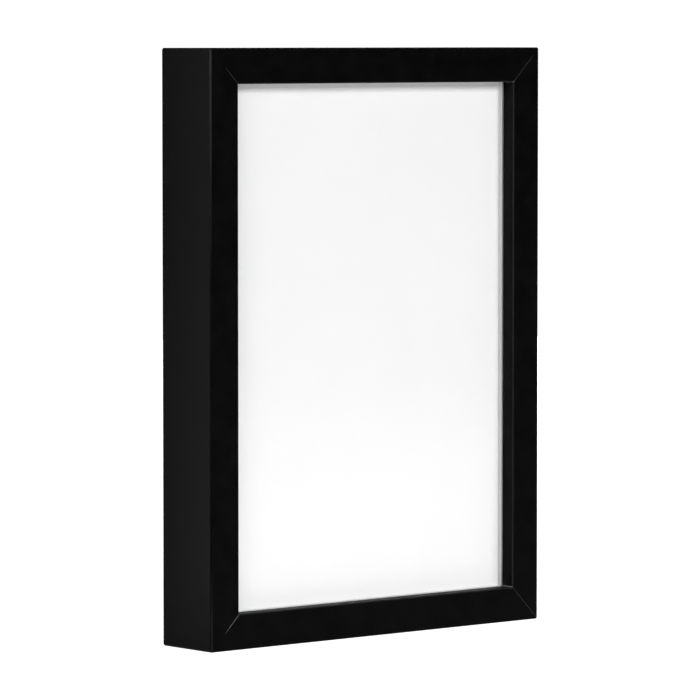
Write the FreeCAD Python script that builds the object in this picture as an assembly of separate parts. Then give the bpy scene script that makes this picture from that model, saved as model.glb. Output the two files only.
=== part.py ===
import FreeCAD, Part

import math
import os

# A deep glazed picture frame for an A4 sheet, in millimetres.
# +X is to the right as the viewer faces the front, +Y points to the back and +Z is up.
# The origin is the centre of the bottom rail's underside, half way through the frame's depth.

V = FreeCAD.Vector

# The sheet that the frame is sold for, and how it sits behind the front lip.
SHEET_W = 210.0
SHEET_H = 297.0
SHEET_PLAY = 0.5
LIP_COVER = 5.0

# The rails' section: a deep bar with a lip at the front and a rebate behind it.
FACE_W = 19.5
RAIL_D = 42.0
LIP_D = 8.5
WALL_T = FACE_W - LIP_COVER - SHEET_PLAY
OUTER_EDGE_R = 1.1
LIP_EDGE_R = 0.7
BACK_EDGE_R = 0.5
CORNER_R = 0.5

# The seam where two rails meet: a fine V along each mitre, on the front face and inside the lip.
SEAM_HALF_W = 0.16
SEAM_DEPTH = 0.2

# The outside of the frame.
OUT_W = SHEET_W - 2 * LIP_COVER + 2 * FACE_W
OUT_H = SHEET_H - 2 * LIP_COVER + 2 * FACE_W
FRONT_Y = -RAIL_D / 2
BACK_Y = RAIL_D / 2

# The stack in the rebate, from the front to the back.
GLASS_T = 2.0
GLASS_ARRIS = 0.25
FRONT_SPACER_D = 3.0
BOARD_T = 1.5
PANEL_T = 3.0
PANEL_SINK = 0.3
PANEL_EDGE_R = 0.4
SPACER_T = 5.0
GLASS_Y = FRONT_Y + LIP_D
FRONT_SPACER_Y = GLASS_Y + GLASS_T
BOARD_Y = FRONT_SPACER_Y + FRONT_SPACER_D
REAR_SPACER_Y = BOARD_Y + BOARD_T
PANEL_Y = BACK_Y - PANEL_SINK - PANEL_T

# Steel V-nails, two across each mitre, driven in from the back.
NAIL_LEG = 4.0
NAIL_T = 0.5
NAIL_D = 10.0
NAIL_SINK = 0.2
NAIL_INSETS = (3.5, 8.5)

# Turn buttons, which hold the back panel in. Each swings on its own screw.
BUTTON_INSET = WALL_T - 5.2
BUTTON_HEEL_R = 4.2
BUTTON_HEEL_ROUND = 3.7
BUTTON_TIP_ROUND = 1.6
BUTTON_TIP_HALF_W = 3.0
BUTTON_REACH = 13.0
BUTTON_T = 0.9
BUTTON_GAP = 0.2
BUTTON_BEND_AT = 8.5
BUTTON_TIP_LIFT = 1.1
BUTTON_SPREAD = 52.0
BUTTON_SCREW_R = 1.35
BUTTON_SCREW_L = 12.0
BUTTON_HEAD_R = 2.9
BUTTON_HEAD_H = 1.9

# A running fit between a moving piece and what it turns on.
RUNNING_FIT = 0.08

# A pan head and its cross recess, as shares of the head's height, the head's radius and the shank's.
HEAD_RIM_H = 0.4
HEAD_BULGE_R = 0.72
HEAD_BULGE_H = 0.86
RECESS_ARM = 0.62
RECESS_HALF_W = 0.32
RECESS_FLOOR = 0.3
SCREW_TIP = 1.6

# Hangers: a strap with a rolled eye, screwed to each side rail, and a D-ring in the eye.
HANGER_INSET = 8.5
HANGER_Z = 262.0
STRAP_W = 6.0
STRAP_T = 0.8
STRAP_L = 27.0
STRAP_STANDOFF = 0.35
STRAP_STEP_Z = 1.1
STRAP_STEP_H = 1.0
STRAP_STEP_SHIFT = 0.3
STRAP_END_ROUND = 2.8
EYE_SEAM = 0.3
RING_WIRE_R = 0.8
RING_HALF_W = 4.9
RING_SIDE_L = 5.0
RING_CORNER_R = 1.4
HANGER_SCREWS_Z = (-14.5, -22.5)
HANGER_SCREW_R = 1.2
HANGER_SCREW_L = 11.0
HANGER_HEAD_R = 2.4
HANGER_HEAD_H = 1.5

# Two pads low on the back keep the frame upright against a wall.
PAD_INSET = WALL_T / 2
PAD_R = 4.5
PAD_T = 2.5
PAD_EDGE_R = 1.1
PAD_Z = 26.0

# Each side of the frame: the turn about +Y and the place that bring a shape from the bottom to it.
SIDES = {
    "bottom": (0, V(0, 0, 0)),
    "left": (90, V(-OUT_W / 2, 0, OUT_H / 2)),
    "top": (180, V(0, 0, OUT_H)),
    "right": (270, V(OUT_W / 2, 0, OUT_H / 2)),
}

# Each turn button's side of the frame, and how far along that side it is.
BUTTONS = {
    "turn_button_bottom": ("bottom", 0.0),
    "turn_button_top": ("top", 0.0),
    "turn_button_left_upper": ("left", -BUTTON_SPREAD),
    "turn_button_left_lower": ("left", BUTTON_SPREAD),
    "turn_button_right_upper": ("right", BUTTON_SPREAD),
    "turn_button_right_lower": ("right", -BUTTON_SPREAD),
}


def box(low, high):
    """A box from its low corner to its high corner."""
    size = V(*high) - V(*low)
    return Part.makeBox(size.x, size.y, size.z, V(*low))


def rounded_outline(points, radii):
    """A closed wire through the points, with each corner rounded to its radius."""
    edges = []
    last = None
    first = None
    for i, point in enumerate(points):
        back = (points[i - 1] - point).normalize()
        ahead = (points[(i + 1) % len(points)] - point).normalize()
        half_turn = back.getAngle(ahead) / 2
        inward = (back + ahead).normalize()
        reach = radii[i] / math.tan(half_turn)
        start = point + back * reach
        end = point + ahead * reach
        if last is None:
            first = start
        else:
            edges.append(Part.LineSegment(last, start).toShape())
        if radii[i] > 0:
            middle = point + inward * (radii[i] / math.sin(half_turn) - radii[i])
            edges.append(Part.Arc(start, middle, end).toShape())
        last = end
    edges.append(Part.LineSegment(last, first).toShape())
    return Part.Wire(edges)


def prism(points, radii, sweep):
    """A solid with a rounded outline, swept in a straight line."""
    return Part.Face(rounded_outline(points, radii)).extrude(sweep)


def to_side(shape, side):
    """A copy of a shape modelled on the bottom side, brought to another side of the frame."""
    turn, place = SIDES[side]
    copy = shape.copy()
    copy.rotate(V(0, 0, 0), V(0, 1, 0), turn)
    copy.translate(place)
    return copy


def at_four_corners(shape):
    """A shape at the bottom left corner, with its mirror images at the other three."""
    right = shape.mirror(V(0, 0, 0), V(1, 0, 0))
    lower = [shape, right]
    return lower + [s.mirror(V(0, 0, OUT_H / 2), V(0, 0, 1)) for s in lower]


def rail(length):
    """A rail on the bottom side with its lip, rebate and rounded edges, mitred at both ends."""
    section = [
        (0.0, FRONT_Y, OUTER_EDGE_R),
        (FACE_W, FRONT_Y, LIP_EDGE_R),
        (FACE_W, GLASS_Y, 0.0),
        (WALL_T, GLASS_Y, 0.0),
        (WALL_T, BACK_Y, 0.0),
        (0.0, BACK_Y, BACK_EDGE_R),
    ]
    half = length / 2
    points = [V(-half, y, inset) for inset, y, _ in section]
    bar = prism(points, [r for _, _, r in section], V(length, 0, 0))
    corners = [(-half, 0.0), (half, 0.0), (half - FACE_W, FACE_W), (-half + FACE_W, FACE_W)]
    points = [V(x, FRONT_Y, z) for x, z in corners]
    return bar.common(prism(points, [CORNER_R, CORNER_R, 0, 0], V(0, RAIL_D, 0)))


def mitre_seam():
    """What the seam takes out of the bottom left corner: the V across the face and the one inside."""
    diagonal = V(1, 0, 1).normalize()
    across = V(1, 0, -1).normalize()
    outer = V(-OUT_W / 2, FRONT_Y, 0) - diagonal
    triangle = [outer + across * SEAM_HALF_W, outer - across * SEAM_HALF_W, outer + V(0, SEAM_DEPTH, 0)]
    face_v = prism(triangle, [0, 0, 0], diagonal * ((FACE_W + 1) * math.sqrt(2)))
    inner = V(-OUT_W / 2 + FACE_W, FRONT_Y, FACE_W)
    points = [inner + across * SEAM_HALF_W, inner - across * SEAM_HALF_W, inner - diagonal * SEAM_DEPTH]
    lip_v = prism(points, [0, 0, 0], V(0, LIP_D, 0))
    return [face_v, lip_v]


def v_nail(inset, height):
    """A V-nail of some height across the bottom left mitre, one leg in each rail."""
    x = -OUT_W / 2 + inset
    end = NAIL_LEG + NAIL_T / 2
    t = NAIL_T / 2
    outline = [(-t, -t), (end, -t), (end, t), (t, t), (t, end), (-t, end)]
    y = BACK_Y - NAIL_SINK - NAIL_D
    points = [V(x + a, y, inset + b) for a, b in outline]
    return prism(points, [0] * len(points), V(0, height, 0))


def screw(head_r, head_h, shank_r, shank_l, neck):
    """A pan-head wood screw along -Y, its head's underside on y = neck and its wood line on y = 0."""
    top = neck + head_h
    rim = neck + head_h * HEAD_RIM_H
    bulge = V(head_r * HEAD_BULGE_R, neck + head_h * HEAD_BULGE_H, 0)
    tip = shank_r * SCREW_TIP
    outline = [
        Part.LineSegment(V(0, -shank_l, 0), V(shank_r, tip - shank_l, 0)),
        Part.LineSegment(V(shank_r, tip - shank_l, 0), V(shank_r, neck, 0)),
        Part.LineSegment(V(shank_r, neck, 0), V(head_r, neck, 0)),
        Part.LineSegment(V(head_r, neck, 0), V(head_r, rim, 0)),
        Part.Arc(V(head_r, rim, 0), bulge, V(0, top, 0)),
        Part.LineSegment(V(0, top, 0), V(0, -shank_l, 0)),
    ]
    body = Part.Face(Part.Wire([edge.toShape() for edge in outline]))
    body = body.revolve(V(0, 0, 0), V(0, 1, 0), 360)
    arm = head_r * RECESS_ARM
    slot = shank_r * RECESS_HALF_W
    floor = neck + head_h * RECESS_FLOOR
    for x, z in ((arm, slot), (slot, arm)):
        body = body.cut(box((-x, floor, -z), (x, top + 1, z)))
    return body


def button_screw():
    """A turn button's screw, with room under its head for the button."""
    neck = BUTTON_GAP + BUTTON_T + RUNNING_FIT
    body = screw(BUTTON_HEAD_R, BUTTON_HEAD_H, BUTTON_SCREW_R, BUTTON_SCREW_L, neck)
    body.translate(V(0, BACK_Y, BUTTON_INSET))
    return body


def turn_button():
    """A stamped turn button on the bottom rail, locked: its arm points in over the back panel."""
    low = BACK_Y + BUTTON_GAP
    heel = BUTTON_INSET - BUTTON_HEEL_R
    bend = BUTTON_INSET + BUTTON_BEND_AT
    tip = BUTTON_INSET + BUTTON_REACH
    side_view = [
        (low, heel),
        (low, bend),
        (low + BUTTON_TIP_LIFT, tip),
        (low + BUTTON_TIP_LIFT + BUTTON_T, tip),
        (low + BUTTON_T, bend),
        (low + BUTTON_T, heel),
    ]
    half = BUTTON_HEEL_R
    strip = prism([V(-half, y, z) for y, z in side_view], [0] * 6, V(2 * half, 0, 0))
    corners = [(-half, heel), (half, heel), (BUTTON_TIP_HALF_W, tip), (-BUTTON_TIP_HALF_W, tip)]
    radii = [BUTTON_HEEL_ROUND, BUTTON_HEEL_ROUND, BUTTON_TIP_ROUND, BUTTON_TIP_ROUND]
    height = BUTTON_T + BUTTON_TIP_LIFT
    plan = prism([V(x, low, z) for x, z in corners], radii, V(0, height, 0))
    hole_r = BUTTON_SCREW_R + RUNNING_FIT
    hole = Part.makeCylinder(hole_r, BUTTON_T, V(0, low, BUTTON_INSET), V(0, 1, 0))
    return strip.common(plan).cut(hole)


def on_buttons_places(shape):
    """Copies of a shape modelled at the middle of the bottom rail, one for each turn button."""
    copies = {}
    for name, (side, along) in BUTTONS.items():
        moved = shape.copy()
        moved.translate(V(along, 0, 0))
        copies[name] = to_side(moved, side)
    return copies


def hanger_axis(sign):
    """The middle of a hanger's eye: sign is -1 for the left side rail and 1 for the right one."""
    eye_r = RING_WIRE_R + RUNNING_FIT + STRAP_T
    return V(sign * (OUT_W / 2 - HANGER_INSET), BACK_Y + STRAP_STANDOFF + eye_r, HANGER_Z)


def hanger_strap():
    """A strap hanger about its eye's axis: a screwed plate that steps up into a rolled eye."""
    hole_r = RING_WIRE_R + RUNNING_FIT
    eye_r = hole_r + STRAP_T
    foot = -eye_r - STRAP_STANDOFF
    step_end = STRAP_STEP_Z + STRAP_STEP_H
    outline = [
        (-eye_r, 0.0),
        (-eye_r, -STRAP_STEP_Z),
        (foot, -step_end),
        (foot, -STRAP_L),
        (foot + STRAP_T, -STRAP_L),
        (foot + STRAP_T, -step_end - STRAP_STEP_SHIFT),
        (-hole_r, -STRAP_STEP_Z - STRAP_STEP_SHIFT),
        (-hole_r, 0.0),
    ]
    half = STRAP_W / 2
    leaf = prism([V(-half, y, z) for y, z in outline], [0] * len(outline), V(STRAP_W, 0, 0))
    eye = Part.makeCylinder(eye_r, STRAP_W, V(-half, 0, 0), V(1, 0, 0))
    hole = Part.makeCylinder(hole_r, STRAP_W, V(-half, 0, 0), V(1, 0, 0))
    seam = box((-half, -hole_r, -eye_r), (half, EYE_SEAM - hole_r, 0))
    strap = leaf.fuse(eye.cut(seam)).cut(hole).removeSplitter()
    corners = [(-half, eye_r), (half, eye_r), (half, -STRAP_L), (-half, -STRAP_L)]
    radii = [0, 0, STRAP_END_ROUND, STRAP_END_ROUND]
    strap = strap.common(prism([V(x, foot, z) for x, z in corners], radii, V(0, eye_r - foot, 0)))
    for z in HANGER_SCREWS_Z:
        strap = strap.cut(Part.makeCylinder(HANGER_SCREW_R, STRAP_T, V(0, foot, z), V(0, 1, 0)))
    return strap


def d_ring():
    """A D-ring of round wire about its straight bar's middle, hanging down."""
    bottom = -RING_SIDE_L - RING_HALF_W
    corners = [
        (V(RING_HALF_W, 0, 0), RING_CORNER_R),
        (V(RING_HALF_W, 0, bottom), RING_HALF_W),
        (V(-RING_HALF_W, 0, bottom), RING_HALF_W),
        (V(-RING_HALF_W, 0, 0), RING_CORNER_R),
    ]
    pieces = []
    for i, (corner, radius) in enumerate(corners):
        before = corners[i - 1][0]
        after, after_r = corners[(i + 1) % 4]
        along = (after - corner).normalize()
        run = (after - corner).Length - radius - after_r
        start = corner + along * radius
        if run > 0.01:
            pieces.append(Part.makeCylinder(RING_WIRE_R, run, start, along))
        centre = start + (before - corner).normalize() * radius
        section = Part.Face(Part.Wire(Part.makeCircle(RING_WIRE_R, start, along)))
        pieces.append(section.revolve(centre, V(0, 1, 0), -90))
    return pieces[0].multiFuse(pieces[1:]).removeSplitter()


def hanger_screw(z):
    """A hanger's screw, z above the eye's axis, with its head on the strap."""
    body = screw(HANGER_HEAD_R, HANGER_HEAD_H, HANGER_SCREW_R, HANGER_SCREW_L, STRAP_T)
    body.translate(V(0, 0, z))
    return body


def on_hanger(shape, sign, on_rail):
    """A copy of a shape at one hanger, from its eye's axis or from the rail's back below the axis."""
    place = hanger_axis(sign)
    if on_rail:
        place.y = BACK_Y
    copy = shape.copy()
    copy.translate(place)
    return copy


def wall_pad(sign):
    """A round pad with a softened rim, stuck low on one side rail's back."""
    x = sign * (OUT_W / 2 - PAD_INSET)
    pad = Part.makeCylinder(PAD_R, PAD_T, V(x, BACK_Y, PAD_Z), V(0, 1, 0))
    rim = [edge for edge in pad.Edges if abs(edge.CenterOfMass.y - BACK_Y - PAD_T) < 0.01]
    return pad.makeFillet(PAD_EDGE_R, rim)


def spacer(side, y, depth):
    """One strip of a spacer set. The top and bottom strips run across the side ones' ends."""
    upright = side in ("left", "right")
    length = SHEET_H - 2 * SPACER_T if upright else SHEET_W
    edge = WALL_T + SHEET_PLAY
    strip = box((-length / 2, y, edge), (length / 2, y + depth, edge + SPACER_T))
    return to_side(strip, side)


def sheet(y, thickness):
    """A flat sheet of the frame's sheet size, standing in the rebate."""
    low_z = (OUT_H - SHEET_H) / 2
    return box((-SHEET_W / 2, y, low_z), (SHEET_W / 2, y + thickness, low_z + SHEET_H))


def build():
    """Every sub-part's shape by its name."""
    seams = [s for cut in mitre_seam() for s in at_four_corners(cut)]
    nails = [n for inset in NAIL_INSETS for n in at_four_corners(v_nail(inset, NAIL_D))]
    slot_d = NAIL_D + NAIL_SINK
    slots = [n for inset in NAIL_INSETS for n in at_four_corners(v_nail(inset, slot_d))]
    button_screws = list(on_buttons_places(button_screw()).values())
    hanger_screws = [on_hanger(hanger_screw(z), sign, True) for sign in (-1, 1) for z in HANGER_SCREWS_Z]
    cuts = seams + slots + button_screws + hanger_screws
    shapes = {}
    for side in SIDES:
        length = OUT_H if side in ("left", "right") else OUT_W
        shapes["rail_" + side] = to_side(rail(length), side).cut(cuts)
        shapes["front_spacer_" + side] = spacer(side, FRONT_SPACER_Y, FRONT_SPACER_D)
        shapes["rear_spacer_" + side] = spacer(side, REAR_SPACER_Y, PANEL_Y - REAR_SPACER_Y)
    glass = sheet(GLASS_Y, GLASS_T)
    shapes["glazing"] = glass.makeChamfer(GLASS_ARRIS, glass.Edges)
    shapes["float_board"] = sheet(BOARD_Y, BOARD_T)
    panel = sheet(PANEL_Y, PANEL_T)
    shapes["back_panel"] = panel.makeFillet(PANEL_EDGE_R, panel.Edges)
    shapes["corner_v_nails"] = Part.makeCompound(nails)
    shapes["turn_button_screws"] = Part.makeCompound(button_screws)
    shapes.update(on_buttons_places(turn_button()))
    for sign, side in ((-1, "left"), (1, "right")):
        shapes["hanger_strap_" + side] = on_hanger(hanger_strap(), sign, False)
        shapes["hanger_ring_" + side] = on_hanger(d_ring(), sign, False)
        shapes["wall_pad_" + side] = wall_pad(sign)
    shapes["hanger_screws"] = Part.makeCompound(hanger_screws)
    return shapes


os.makedirs("parts", exist_ok=True)
for name, shape in build().items():
    shape.exportStep(os.path.join("parts", name + ".step"))
    print(name, "solids", len(shape.Solids), "volume", round(shape.Volume, 2), "valid", shape.isValid())
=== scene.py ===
import math

import bpy
from mathutils import Matrix, Vector


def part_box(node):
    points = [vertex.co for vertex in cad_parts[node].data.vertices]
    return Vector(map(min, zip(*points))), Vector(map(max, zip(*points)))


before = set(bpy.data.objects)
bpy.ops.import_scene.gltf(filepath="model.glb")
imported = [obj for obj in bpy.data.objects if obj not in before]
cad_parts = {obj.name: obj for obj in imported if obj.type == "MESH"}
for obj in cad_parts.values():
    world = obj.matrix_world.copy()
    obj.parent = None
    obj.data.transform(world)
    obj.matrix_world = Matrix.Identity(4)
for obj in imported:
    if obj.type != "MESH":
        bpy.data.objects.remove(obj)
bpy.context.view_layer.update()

# ---- Sizes, all from the frame, in metres ----

SIDES = ("bottom", "left", "top", "right")
MM = 0.001
LEFT_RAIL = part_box("rail_left")
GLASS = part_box("glazing")
OUT_W = 2 * abs(LEFT_RAIL[0].x)
OUT_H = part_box("rail_top")[1].z
RAIL_D = LEFT_RAIL[1].y - LEFT_RAIL[0].y
FACE_W = LEFT_RAIL[1].x - LEFT_RAIL[0].x
LIP_D = GLASS[0].y + RAIL_D / 2
MIDDLE = Vector((0, 0, OUT_H / 2))

# ---- Black paint: tones are shares of white, and each span says between what distances one fades ----

PAINT_DARK = 0.001
PAINT_PALE = 0.0026
PAINT_SHEEN = 0.034
# Painted light: the lip's inner wall is painted paler than the face, most at the front and less towards the
# glazing
PAINTED_WALL_LIGHT_FRONT = 0.003
PAINTED_WALL_LIGHT_BACK = 0.001
LIP_WALL_SPAN = (FACE_W - 0.12 * MM, FACE_W - 0.02 * MM)

# Painted highlight along the lip's arris, all round
LIP_HIGHLIGHT = 0.017
LIP_HIGHLIGHT_SPAN = (0.35 * MM, 0.75 * MM)

# Painted highlight on the two upright outer edges near their ends, in a line just inside the outline
EDGE_HIGHLIGHT = 0.022
EDGE_HIGHLIGHT_SPAN = (0.3 * MM, 0.6 * MM)
EDGE_IN = 0.6 * MM
EDGE_BACK = 0.1 * MM
EDGE_HIGHLIGHT_TOP = 120 * MM
EDGE_HIGHLIGHT_LOW = 45 * MM
EDGE_HIGHLIGHT_LOW_SHARE = 0.7

# Each mitre's pale line, partly worn paint and partly painted highlight: its side and end, -1 for left or
# bottom and 1 for right or top, how far it reaches from the inner corner as a share of the rail's face, and
# its tone
MITRE_WEAR_AND_HIGHLIGHT = (
    (-1, -1, 0.53, 0.15),
    (-1, 1, 0.5, 0.035),
    (1, 1, 0.85, 0.033),
    (1, 1, 0.12, 0.16),
    (1, -1, 1.15, 0.033),
)
MITRE_FADE = 4 * MM
MITRE_SPAN = (0.20 * MM, 0.34 * MM)
# Pale filler shows in the lip's lower right corner
FILLER_TONE = 0.16
FILLER_SPAN = (0.5 * MM, 0.7 * MM)

# ---- Hardboard colours, and the press screen's mesh with a wire each 1.9 mm ----

FIBRE_DARK = (0.13, 0.072, 0.036, 1)
FIBRE_PALE = (0.32, 0.197, 0.108, 1)
FLECK = (0.06, 0.033, 0.017, 1)
PATCH = (0.17, 0.098, 0.05, 1)
MESH_SHADE = (0.095, 0.053, 0.027, 1)
SCREEN_MESH = 165

# ---- Camera: its place and lens, worked out from the object's proportions in the picture ----

CAMERA_YAW = math.radians(40.33)
CAMERA_PITCH = math.radians(-3.71)
CAMERA_DISTANCE = 2.687
CAMERA_RIGHT = -0.0026
CAMERA_UP = -0.0051
CAMERA_LENS = 248.2
CAMERA_REACH = 100
SENSOR_W = 36.0

# ---- Light: a glow of 1 is white in the picture, and lamps are in watts ----

FLOOR_REACH = 40.0
FLOOR_DARK = 0.8
FLOOR_PALE = 0.83
FLOOR_SEEN_NEAR = 0.93
FLOOR_SEEN_FAR = 1.1
TABLE_GLOW = 0.25
TABLE_R = 0.3
TABLE_FADE_R = 0.9
TABLE_SHINE = 0.8
SHINE_FADE_R = 2.0
SURROUND_SEEN = 1.1
SURROUND_GLOW = 0.02
SHINE_LOW = 0.04
SHINE_LOW_Z = 0.15
SHINE_TOP = 0.6
SHINE_TOP_Z = 0.6
KEY_W = 123
FILL_W = 12.6
RIM_W = 2.2
CARD_W = 0.38
REAR_W = 34
RIGHT_W = 60
BOUNCE_W = 0.124


def add_camera():
    """The scene's camera, aimed close to the frame's middle."""
    level = math.cos(CAMERA_PITCH)
    ahead = Vector((math.sin(CAMERA_YAW) * level, math.cos(CAMERA_YAW) * level, math.sin(CAMERA_PITCH)))
    right = Vector((math.cos(CAMERA_YAW), -math.sin(CAMERA_YAW), 0))
    up = right.cross(ahead)
    data = bpy.data.cameras.new("camera")
    data.sensor_width = SENSOR_W
    data.lens = CAMERA_LENS
    data.clip_end = CAMERA_REACH
    camera = bpy.data.objects.new("camera", data)
    turn = Matrix((right, up, -ahead)).transposed().to_4x4()
    place = MIDDLE - ahead * CAMERA_DISTANCE + right * CAMERA_RIGHT + up * CAMERA_UP
    camera.matrix_world = Matrix.Translation(place) @ turn
    bpy.context.scene.collection.objects.link(camera)
    bpy.context.scene.camera = camera


# ---- Material building ----

# Most of a noise's values lie in this range
NOISE_MIDDLE = (0.3, 0.7)


class Recipe:
    """A material's node tree, built a node at a time."""

    def __init__(self, name):
        self.material = bpy.data.materials.new(name)
        self.material.use_nodes = True
        self.nodes = self.material.node_tree.nodes
        self.links = self.material.node_tree.links
        self.shader = self.nodes["Principled BSDF"]
        self.output = self.nodes["Material Output"]
        self.place = self.add("ShaderNodeTexCoord").outputs["Object"]

    def add(self, kind, **settings):
        """A node with its properties set."""
        node = self.nodes.new(kind)
        for name, value in settings.items():
            setattr(node, name, value)
        return node

    def feed(self, socket, value):
        """Links a socket, or sets it where the value is plain."""
        if isinstance(value, bpy.types.NodeSocket):
            self.links.new(value, socket)
        else:
            socket.default_value = value

    def maths(self, operation, a, b=0.0):
        """The result of a sum or comparison of one or two values."""
        node = self.add("ShaderNodeMath", operation=operation)
        self.feed(node.inputs[0], a)
        self.feed(node.inputs[1], b)
        return node.outputs[0]

    def times(self, a, b):
        """Two values multiplied."""
        return self.maths("MULTIPLY", a, b)

    def stretched(self, scale):
        """The object's coordinates, scaled along each axis."""
        node = self.add("ShaderNodeMapping")
        self.feed(node.inputs["Vector"], self.place)
        node.inputs["Scale"].default_value = scale
        return node.outputs[0]

    def noise(self, scale, detail=3.0, roughness=0.5, vector=None, distortion=0.0):
        """Noise of the given scale, per metre."""
        node = self.add("ShaderNodeTexNoise")
        self.feed(node.inputs["Vector"], vector or self.place)
        node.inputs["Scale"].default_value = scale
        node.inputs["Detail"].default_value = detail
        node.inputs["Roughness"].default_value = roughness
        node.inputs["Distortion"].default_value = distortion
        return node.outputs["Fac"]

    def remap(self, value, low, high, to_low=0.0, to_high=1.0):
        """A value moved from one range to another, and kept within it."""
        node = self.add("ShaderNodeMapRange")
        for socket, number in zip(node.inputs, (value, low, high, to_low, to_high)):
            self.feed(socket, number)
        return node.outputs[0]

    def spread(self, noise, to_low=0.0, to_high=1.0):
        """A noise's middle range moved to another."""
        return self.remap(noise, *NOISE_MIDDLE, to_low, to_high)

    def blend(self, share, a, b):
        """A mix of two colours."""
        node = self.add("ShaderNodeMix", data_type="RGBA")
        self.feed(node.inputs["Factor"], share)
        self.feed(node.inputs["A"], a)
        self.feed(node.inputs["B"], b)
        return node.outputs["Result"]

    def distance(self, a, b):
        """How far a point is from a line, from its distances along two axes."""
        squares = self.maths("ADD", self.maths("POWER", a, 2), self.maths("POWER", b, 2))
        return self.maths("SQRT", squares)

    def ray(self, name):
        """One of the ray kinds, as 0 or 1."""
        return self.add("ShaderNodeLightPath").outputs["Is " + name + " Ray"]

    def bump(self, height, strength, distance):
        """Feeds the shader a normal from a height, on top of any it has."""
        node = self.add("ShaderNodeBump")
        normal = self.shader.inputs["Normal"]
        if normal.is_linked:
            self.feed(node.inputs["Normal"], normal.links[0].from_socket)
        self.feed(node.inputs["Height"], height)
        node.inputs["Strength"].default_value = strength
        node.inputs["Distance"].default_value = distance
        self.feed(normal, node.outputs[0])

    def set(self, **values):
        """Sets or links the shader's sockets by name, with _ for a space."""
        for name, value in values.items():
            self.feed(self.shader.inputs[name.replace("_", " ")], value)


def grey(value, warmth=0.0):
    """A grey colour, slightly warm above 0."""
    return (value * (1 + warmth), value, value * (1 - warmth), 1.0)


# ---- Black paint on the rails ----

class RailPlaces:
    """Where a point of the rails is, as sockets: across, up, in from the outline, back, and off the mitre."""

    def __init__(self, r):
        split = r.add("ShaderNodeSeparateXYZ")
        r.feed(split.inputs[0], r.place)
        self.x, y, self.z = split.outputs
        self.from_top = r.maths("SUBTRACT", OUT_H, self.z)
        self.beside = r.maths("SUBTRACT", OUT_W / 2, r.maths("ABSOLUTE", self.x))
        level = r.maths("MINIMUM", self.z, self.from_top)
        self.inset = r.maths("MINIMUM", self.beside, level)
        self.depth = r.maths("ADD", y, RAIL_D / 2)
        self.seam = r.maths("ABSOLUTE", r.maths("SUBTRACT", self.beside, level))


def mitre_tone(r, at):
    """How pale the line on the mitres is, partly worn paint and partly painted highlight. It differs by
    corner and fades towards the outer ones.
    """
    total = 0.0
    for side, end, reach, tone in MITRE_WEAR_AND_HIGHLIGHT:
        on_side = r.maths("GREATER_THAN", r.times(at.x, side), 0)
        on_end = r.maths("GREATER_THAN", r.times(r.maths("SUBTRACT", at.z, OUT_H / 2), end), 0)
        start = FACE_W * (1 - reach)
        part = r.remap(at.inset, start, start + MITRE_FADE, 0, tone)
        total = r.maths("ADD", total, r.times(part, r.times(on_side, on_end)))
    return total


def arris_highlight(r, at):
    """How much painted highlight the lip's arris has, all round, and the two upright outer edges near their
    ends.
    """
    lip_gap = r.distance(r.maths("SUBTRACT", at.inset, FACE_W), at.depth)
    lip_highlight = r.times(r.remap(lip_gap, *LIP_HIGHLIGHT_SPAN, 1, 0), LIP_HIGHLIGHT)
    edge_gap = r.distance(r.maths("SUBTRACT", at.beside, EDGE_IN), r.maths("SUBTRACT", at.depth, EDGE_BACK))
    near_top = r.remap(at.from_top, 0, EDGE_HIGHLIGHT_TOP, 1, 0)
    near_floor = r.remap(at.z, 0, EDGE_HIGHLIGHT_LOW, EDGE_HIGHLIGHT_LOW_SHARE, 0)
    near_ends = r.maths("MAXIMUM", near_top, near_floor)
    # Painted highlight on the upright outer edges, strongest near the top
    edge_highlight = r.times(r.remap(edge_gap, *EDGE_HIGHLIGHT_SPAN, EDGE_HIGHLIGHT, 0), near_ends)
    return r.maths("MAXIMUM", lip_highlight, edge_highlight)


def rail_paint():
    """Satin black paint on wood: fine mottling, pale lines along the mitres that are partly worn paint and
    partly painted highlight, painted highlights on the front arrises, and painted light on the lip's inner
    wall.
    """
    r = Recipe("rail_paint")
    at = RailPlaces(r)
    mottle = r.noise(90, detail=5, roughness=0.6)
    patchy = r.spread(r.noise(120, detail=3, roughness=0.6), 0.65, 1.0)

    base = r.blend(r.spread(mottle), grey(PAINT_DARK), grey(PAINT_PALE))
    in_lip = r.remap(at.inset, *LIP_WALL_SPAN)
    # Painted light on the lip's inner wall, paler towards the front
    wall_light = r.times(in_lip, r.remap(at.depth, 0, LIP_D, PAINTED_WALL_LIGHT_FRONT, PAINTED_WALL_LIGHT_BACK))
    base = r.blend(wall_light, base, grey(1))
    # Painted highlights along the lip's arris and on the upright outer edges near their ends
    base = r.blend(r.times(arris_highlight(r, at), patchy), base, grey(1))
    # Pale line along each mitre, partly worn paint and partly painted highlight
    line = r.times(r.remap(at.seam, *MITRE_SPAN, 1, 0), mitre_tone(r, at))
    base = r.blend(r.times(line, patchy), base, grey(1))
    right_low = r.times(r.maths("GREATER_THAN", at.x, 0), r.maths("LESS_THAN", at.z, OUT_H / 2))
    filler = r.times(r.remap(at.seam, *FILLER_SPAN, FILLER_TONE, 0), right_low)
    r.set(Base_Color=r.blend(r.times(filler, in_lip), base, grey(1)))

    r.set(Roughness=r.spread(mottle, 0.46, 0.54), Specular_IOR_Level=PAINT_SHEEN)
    r.bump(r.noise(1400, detail=3, roughness=0.6), strength=0.12, distance=0.02 * MM)
    r.bump(r.noise(420, detail=2), strength=0.1, distance=0.05 * MM)
    return r.material


# ---- The other materials ----

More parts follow.
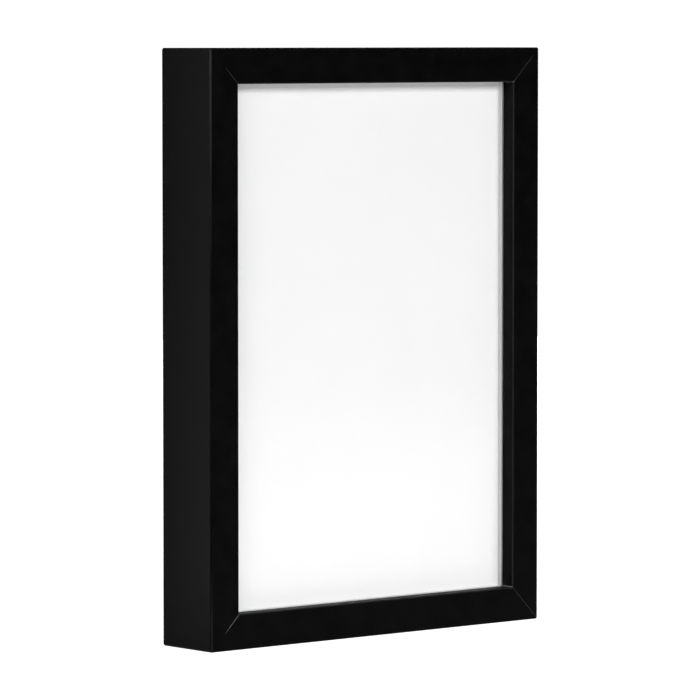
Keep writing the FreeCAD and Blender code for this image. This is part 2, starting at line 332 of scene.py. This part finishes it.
def clear_glass():
    """Clear sheet glass. Lamps light what is behind it."""
    r = Recipe("clear_glass")
    haze = r.noise(35, detail=4, roughness=0.6)
    r.set(Base_Color=grey(0.995), IOR=1.5, Transmission_Weight=1.0)
    r.set(Roughness=r.remap(haze, 0.35, 0.75, 0.0, 0.02))
    through = r.add("ShaderNodeBsdfTransparent")
    through.inputs["Color"].default_value = grey(0.956)
    mix = r.add("ShaderNodeMixShader")
    r.feed(mix.inputs[0], r.maths("MAXIMUM", r.ray("Shadow"), r.ray("Diffuse")))
    r.feed(mix.inputs[1], r.shader.outputs[0])
    r.feed(mix.inputs[2], through.outputs[0])
    r.feed(r.output.inputs["Surface"], mix.outputs[0])
    return r.material


def white_board(name, pale, dark):
    """Smooth white board with a fine paper tooth and a faint mottling."""
    r = Recipe(name)
    cloud = r.noise(28, detail=4, roughness=0.6)
    fibre = r.noise(900, detail=4, roughness=0.65)
    r.set(Base_Color=r.blend(r.spread(cloud), grey(dark), grey(pale)))
    r.set(Roughness=r.spread(fibre, 0.85, 0.95), Specular_IOR_Level=0.3)
    r.bump(fibre, strength=0.25, distance=0.03 * MM)
    return r.material


def hardboard():
    """The rough side of pressed hardboard: brown fibres and flecks under the press screen's mesh."""
    r = Recipe("hardboard")
    fibre = r.noise(420, detail=7, roughness=0.75, vector=r.stretched((1, 1, 0.55)), distortion=0.8)
    fleck = r.noise(800, detail=3, roughness=0.6)
    patch = r.noise(24, detail=4, roughness=0.6)
    base = r.blend(r.remap(fibre, 0.32, 0.68), FIBRE_DARK, FIBRE_PALE)
    base = r.blend(r.remap(fleck, 0.64, 0.72, 0.0, 0.7), base, FLECK)
    base = r.blend(r.remap(patch, 0.35, 0.75, 0.0, 0.45), base, PATCH)
    mesh = r.times(screen_wires(r, "X"), screen_wires(r, "Z"))
    base = r.blend(r.times(mesh, 0.4), base, MESH_SHADE)
    r.set(Base_Color=base, Roughness=r.spread(fibre, 0.7, 0.9))
    r.bump(fibre, strength=0.5, distance=0.2 * MM)
    r.bump(mesh, strength=0.6, distance=-0.25 * MM)
    return r.material


def screen_wires(r, axis):
    """The press screen's wires, one after another along an axis."""
    wave = r.add("ShaderNodeTexWave", bands_direction=axis)
    r.feed(wave.inputs["Vector"], r.place)
    wave.inputs["Scale"].default_value = SCREEN_MESH
    wave.inputs["Distortion"].default_value = 0.4
    return wave.outputs["Fac"]


def plated_steel(name, tone, roughness, warmth=0.0):
    """Plated steel with fine rolling marks and small dull spots."""
    r = Recipe(name)
    marks = r.noise(600, detail=4, roughness=0.6, vector=r.stretched((1, 1, 0.08)))
    spots = r.noise(700, detail=3)
    r.set(Base_Color=r.blend(r.remap(spots, 0.45, 0.7), grey(tone, warmth), grey(tone * 0.72, warmth)))
    r.set(Metallic=1.0, Roughness=r.spread(marks, roughness * 0.8, roughness * 1.3))
    r.bump(marks, strength=0.15, distance=0.02 * MM)
    return r.material


def pad_rubber():
    """Soft matt black rubber with a fine moulded grain."""
    r = Recipe("pad_rubber")
    grain = r.noise(1500, detail=3, roughness=0.6)
    r.set(Base_Color=r.blend(r.spread(grain), grey(0.012), grey(0.022)))
    r.set(Roughness=r.spread(grain, 0.6, 0.8))
    r.bump(grain, strength=0.3, distance=0.04 * MM)
    return r.material


# ---- Stage: a luminous white table, a white surround and soft lamps ----

def add_floor():
    """A wide pale table top, lit from below so that only a trace of shadow shows, staged."""
    mesh = bpy.data.meshes.new("floor")
    corners = [(-1, -1), (1, -1), (1, 1), (-1, 1)]
    mesh.from_pydata([(x * FLOOR_REACH, y * FLOOR_REACH, 0) for x, y in corners], [], [(0, 1, 2, 3)])
    floor = bpy.data.objects.new("floor", mesh)
    bpy.context.scene.collection.objects.link(floor)
    mesh.materials.append(floor_white())


def floor_white():
    """Pale table top that glows near the frame. Mirrored in the glazing, it shows a smooth shine instead."""
    r = Recipe("floor_white")
    r.set(Roughness=0.9, Specular_IOR_Level=0.1, Emission_Color=grey(1))
    length = r.add("ShaderNodeVectorMath", operation="LENGTH")
    r.feed(length.inputs[0], r.place)
    away = length.outputs["Value"]
    mirrored = r.maths("MAXIMUM", r.ray("Glossy"), r.ray("Transmission"))
    pale = r.blend(r.noise(6), grey(FLOOR_DARK), grey(FLOOR_PALE))
    r.set(Base_Color=r.blend(mirrored, pale, grey(0)))
    glow = r.remap(away, TABLE_R, TABLE_FADE_R, TABLE_GLOW, 0)
    shine = r.remap(away, TABLE_R, SHINE_FADE_R, TABLE_SHINE, SHINE_LOW)
    bright = r.remap(away, TABLE_R, TABLE_FADE_R, FLOOR_SEEN_NEAR, FLOOR_SEEN_FAR)
    unseen = r.remap(mirrored, 0, 1, glow, shine)
    r.set(Emission_Strength=r.remap(r.ray("Camera"), 0, 1, unseen, bright))
    return r.material


def add_world():
    """White to the camera, a soft glow on the object, and in reflections a dim room with a pale ceiling."""
    world = bpy.data.worlds.new("surround")
    bpy.context.scene.world = world
    world.use_nodes = True
    nodes, links = world.node_tree.nodes, world.node_tree.links

    def ranged(value, low, high, to_low, to_high):
        """A value moved from one range to another."""
        node = nodes.new("ShaderNodeMapRange")
        for socket, number in zip(node.inputs, (value, low, high, to_low, to_high)):
            if isinstance(number, bpy.types.NodeSocket):
                links.new(number, socket)
            else:
                socket.default_value = number
        return node.outputs[0]

    split = nodes.new("ShaderNodeSeparateXYZ")
    links.new(nodes.new("ShaderNodeTexCoord").outputs["Generated"], split.inputs[0])
    ray = nodes.new("ShaderNodeLightPath")
    shine = ranged(split.outputs["Z"], SHINE_LOW_Z, SHINE_TOP_Z, SHINE_LOW, SHINE_TOP)
    unseen = ranged(ray.outputs["Is Glossy Ray"], 0, 1, SURROUND_GLOW, shine)
    strength = ranged(ray.outputs["Is Camera Ray"], 0, 1, unseen, SURROUND_SEEN)
    back = nodes["Background"]
    back.inputs["Color"].default_value = grey(1)
    links.new(strength, back.inputs["Strength"])


def add_lamp(name, place, size, power, aim=MIDDLE, seen_in="diffuse"):
    """A soft rectangular lamp, turned to a point. It lights matt surfaces, shows in glossy ones, or both."""
    data = bpy.data.lights.new(name, "AREA")
    data.shape = "RECTANGLE"
    data.size, data.size_y = size
    data.energy = power
    lamp = bpy.data.objects.new(name, data)
    lamp.location = place
    lamp.rotation_euler = (aim - place).to_track_quat("-Z", "Y").to_euler()
    lamp.visible_camera = False
    lamp.visible_glossy = seen_in != "diffuse"
    lamp.visible_transmission = seen_in != "diffuse"
    lamp.visible_diffuse = seen_in != "glossy"
    bpy.context.scene.collection.objects.link(lamp)


def around(azimuth, elevation, distance):
    """A point as far from the frame's middle, to the right of its front by the azimuth, in degrees."""
    turn, rise = math.radians(azimuth), math.radians(elevation)
    level = math.cos(rise) * distance
    return MIDDLE + Vector((math.sin(turn) * level, -math.cos(turn) * level, math.sin(rise) * distance))


def add_lamps():
    """Large lamps in front, behind and to the right, and small ones close to the left and bottom rails."""
    left = Vector((-OUT_W / 2, -RAIL_D / 2, OUT_H / 2))
    top_left = Vector((-OUT_W / 2, -RAIL_D / 2, OUT_H))
    front_low = Vector((0, -RAIL_D / 2, FACE_W))
    rim_place = top_left + Vector((-0.235, -0.086, 0.034))
    card_place = left + Vector((-0.097, 0.090, -0.02))
    bounce_place = front_low + Vector((0, -0.28, 0.03))
    key_place = around(azimuth=3, elevation=18.5, distance=4.0)
    fill_place = around(azimuth=-54, elevation=10, distance=2.5)
    rear_place = around(azimuth=150, elevation=12, distance=2.5)
    right_place = around(azimuth=108, elevation=12, distance=2.5)
    add_lamp("key", key_place, (1.05, 1.05), KEY_W)
    add_lamp("fill", fill_place, (0.9, 0.6), FILL_W)
    add_lamp("rim", rim_place, (0.08, 0.08), RIM_W, aim=top_left, seen_in="glossy")
    add_lamp("side_card", card_place, (0.02, 0.5), CARD_W, aim=left, seen_in="glossy")
    add_lamp("bounce", bounce_place, (0.5, 0.06), BOUNCE_W, aim=front_low)
    add_lamp("rear", rear_place, (2.2, 1.6), REAR_W, seen_in="both")
    add_lamp("right_card", right_place, (1.2, 1.6), RIGHT_W, seen_in="glossy")


# ---- The pieces ----

def paint(names, material):
    """Gives CAD nodes a material."""
    for name in names:
        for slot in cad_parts[name].material_slots:
            slot.link = "OBJECT"
            slot.material = material


def paint_pieces():
    """Gives each CAD node its finish."""
    screws = ("turn_button_screws", "hanger_screws")
    buttons = [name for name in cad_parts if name.startswith("turn_button_") and name not in screws]
    hangers = [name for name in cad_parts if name.startswith(("hanger_strap", "hanger_ring"))]
    paint(["rail_" + side for side in SIDES], rail_paint())
    paint(["glazing"], clear_glass())
    paint(["float_board"], white_board("white_board", pale=0.92, dark=0.905))
    # Painted shade: the white strips get a grey tone that stands in for the shade on their inner faces
    paint(["front_spacer_" + side for side in SIDES], white_board("white_strip", pale=0.73, dark=0.7))
    paint(["rear_spacer_" + side for side in SIDES], white_board("spacer_card", pale=0.84, dark=0.8))
    paint(["back_panel"], hardboard())
    paint(["corner_v_nails"], plated_steel("nail_steel", tone=0.35, roughness=0.45, warmth=0.02))
    paint(buttons, plated_steel("button_steel", tone=0.62, roughness=0.28))
    paint(hangers, plated_steel("hanger_steel", tone=0.66, roughness=0.22, warmth=0.02))
    paint(screws, plated_steel("screw_steel", tone=0.6, roughness=0.3))
    paint(["wall_pad_left", "wall_pad_right"], pad_rubber())


add_camera()
paint_pieces()
add_floor()
add_world()
add_lamps()

scene = bpy.context.scene
scene.view_settings.view_transform = "Standard"
scene.view_settings.look = "None"
